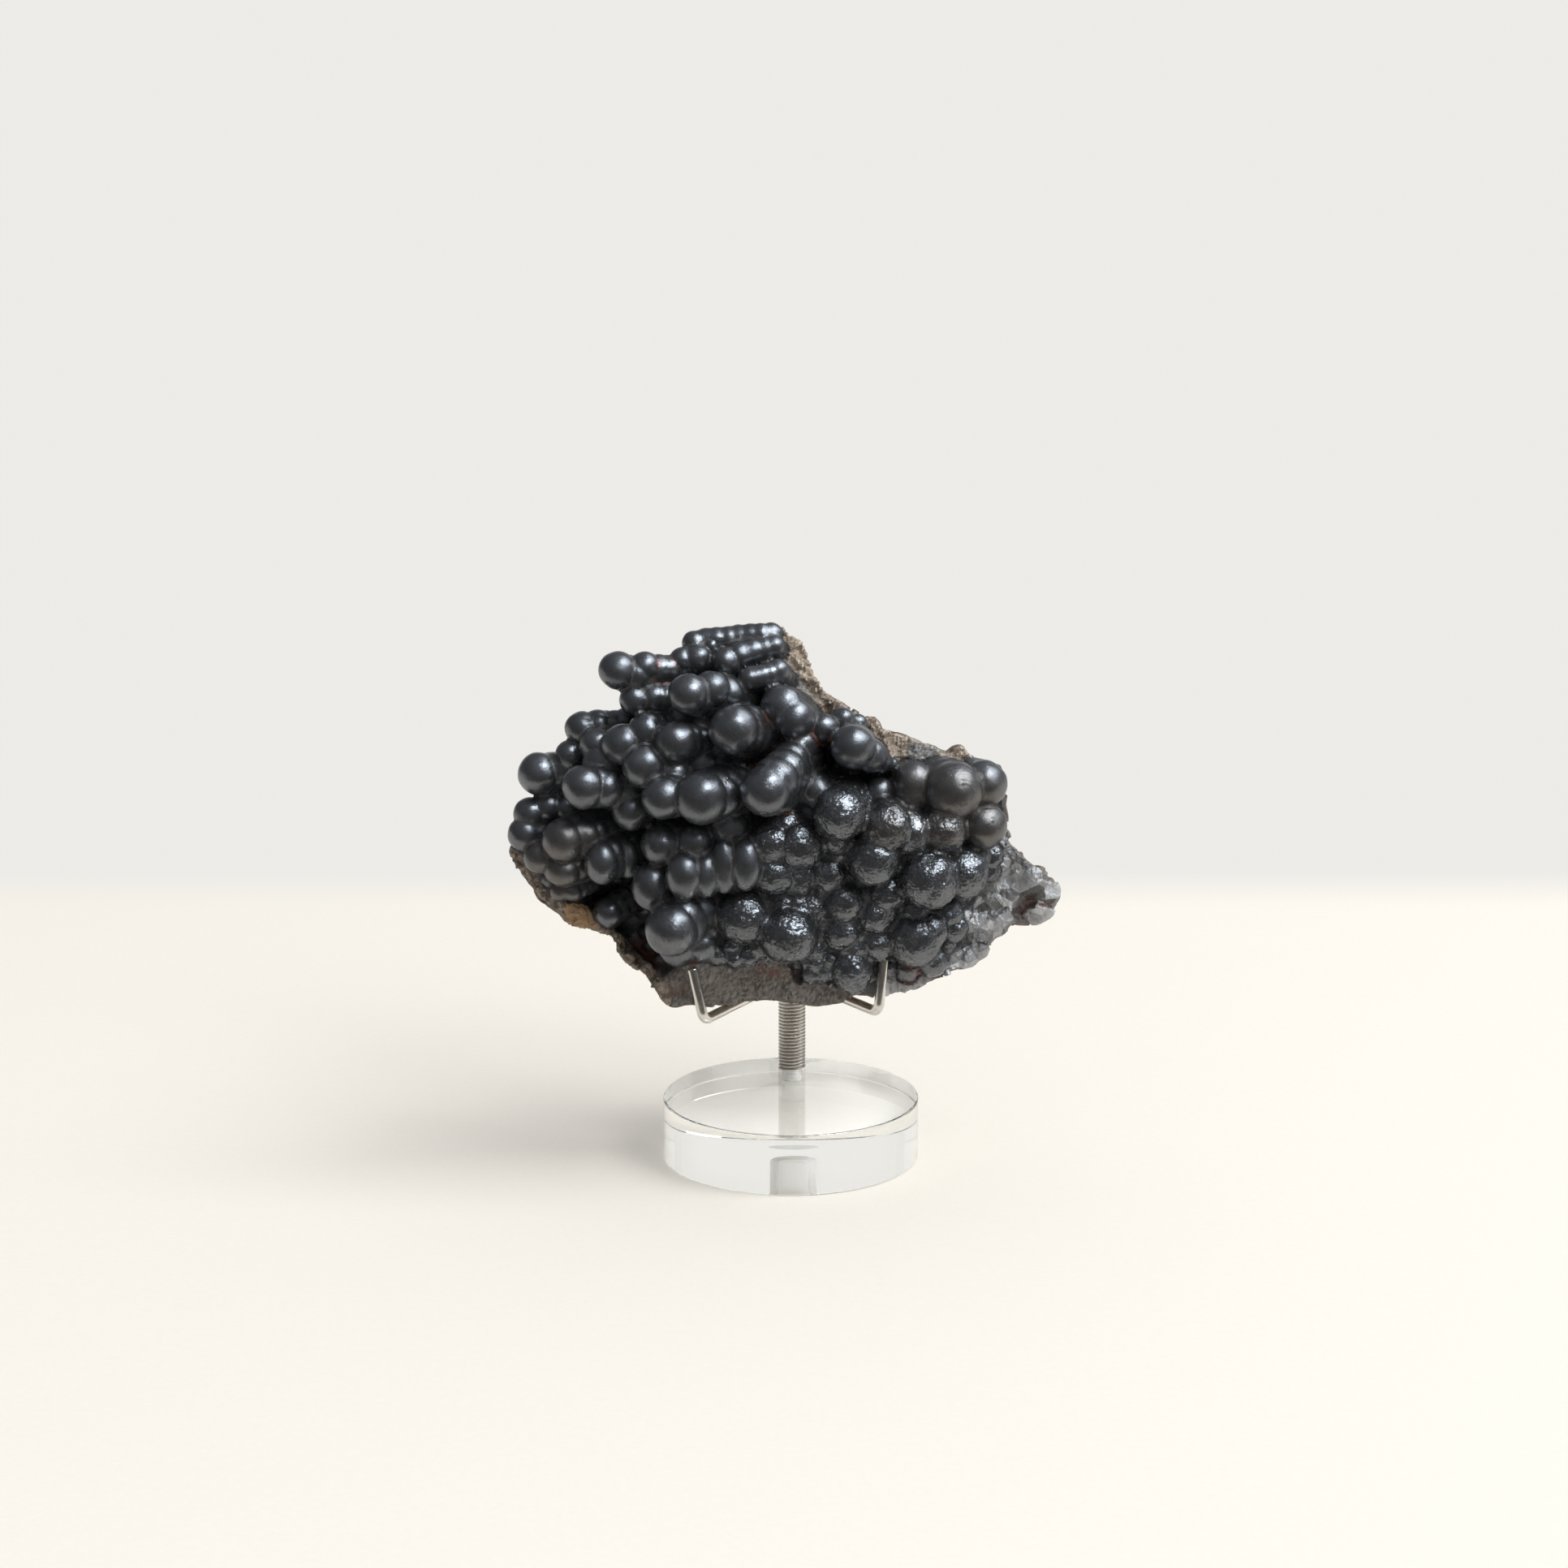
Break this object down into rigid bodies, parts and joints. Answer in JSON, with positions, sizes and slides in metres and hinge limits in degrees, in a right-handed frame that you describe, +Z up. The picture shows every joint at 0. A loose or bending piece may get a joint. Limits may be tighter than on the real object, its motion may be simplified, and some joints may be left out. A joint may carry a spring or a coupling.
{
  "type": "botryoidal hematite specimen on stand",
  "caption": "Plate of dark botryoidal hematite with grape-like bubbles and broken edges, held upright by bent wire arms on a threaded post over a clear round acrylic base.",
  "frame": {"origin": "middle of the clear disc's underside, on the surface that it stands on", "axes": "+Z up, -Y towards the viewer of the stone's bubbled face, +X to the viewer's right"},
  "size_m": [0.159, 0.075, 0.1581],
  "materials": {
    "hematite": "satin",
    "clear_acrylic": "polished",
    "threaded_steel": "satin",
    "wire_steel": "satin"
  },
  "bodies": {
    "root": {"hematite": "hematite", "base_disc": "clear_acrylic", "post": "threaded_steel", "hub": "threaded_steel", "arm_front_left": "wire_steel", "arm_front_right": "wire_steel", "arm_rear_left": "wire_steel", "arm_rear_right": "wire_steel"}
  },
  "joints": []
}
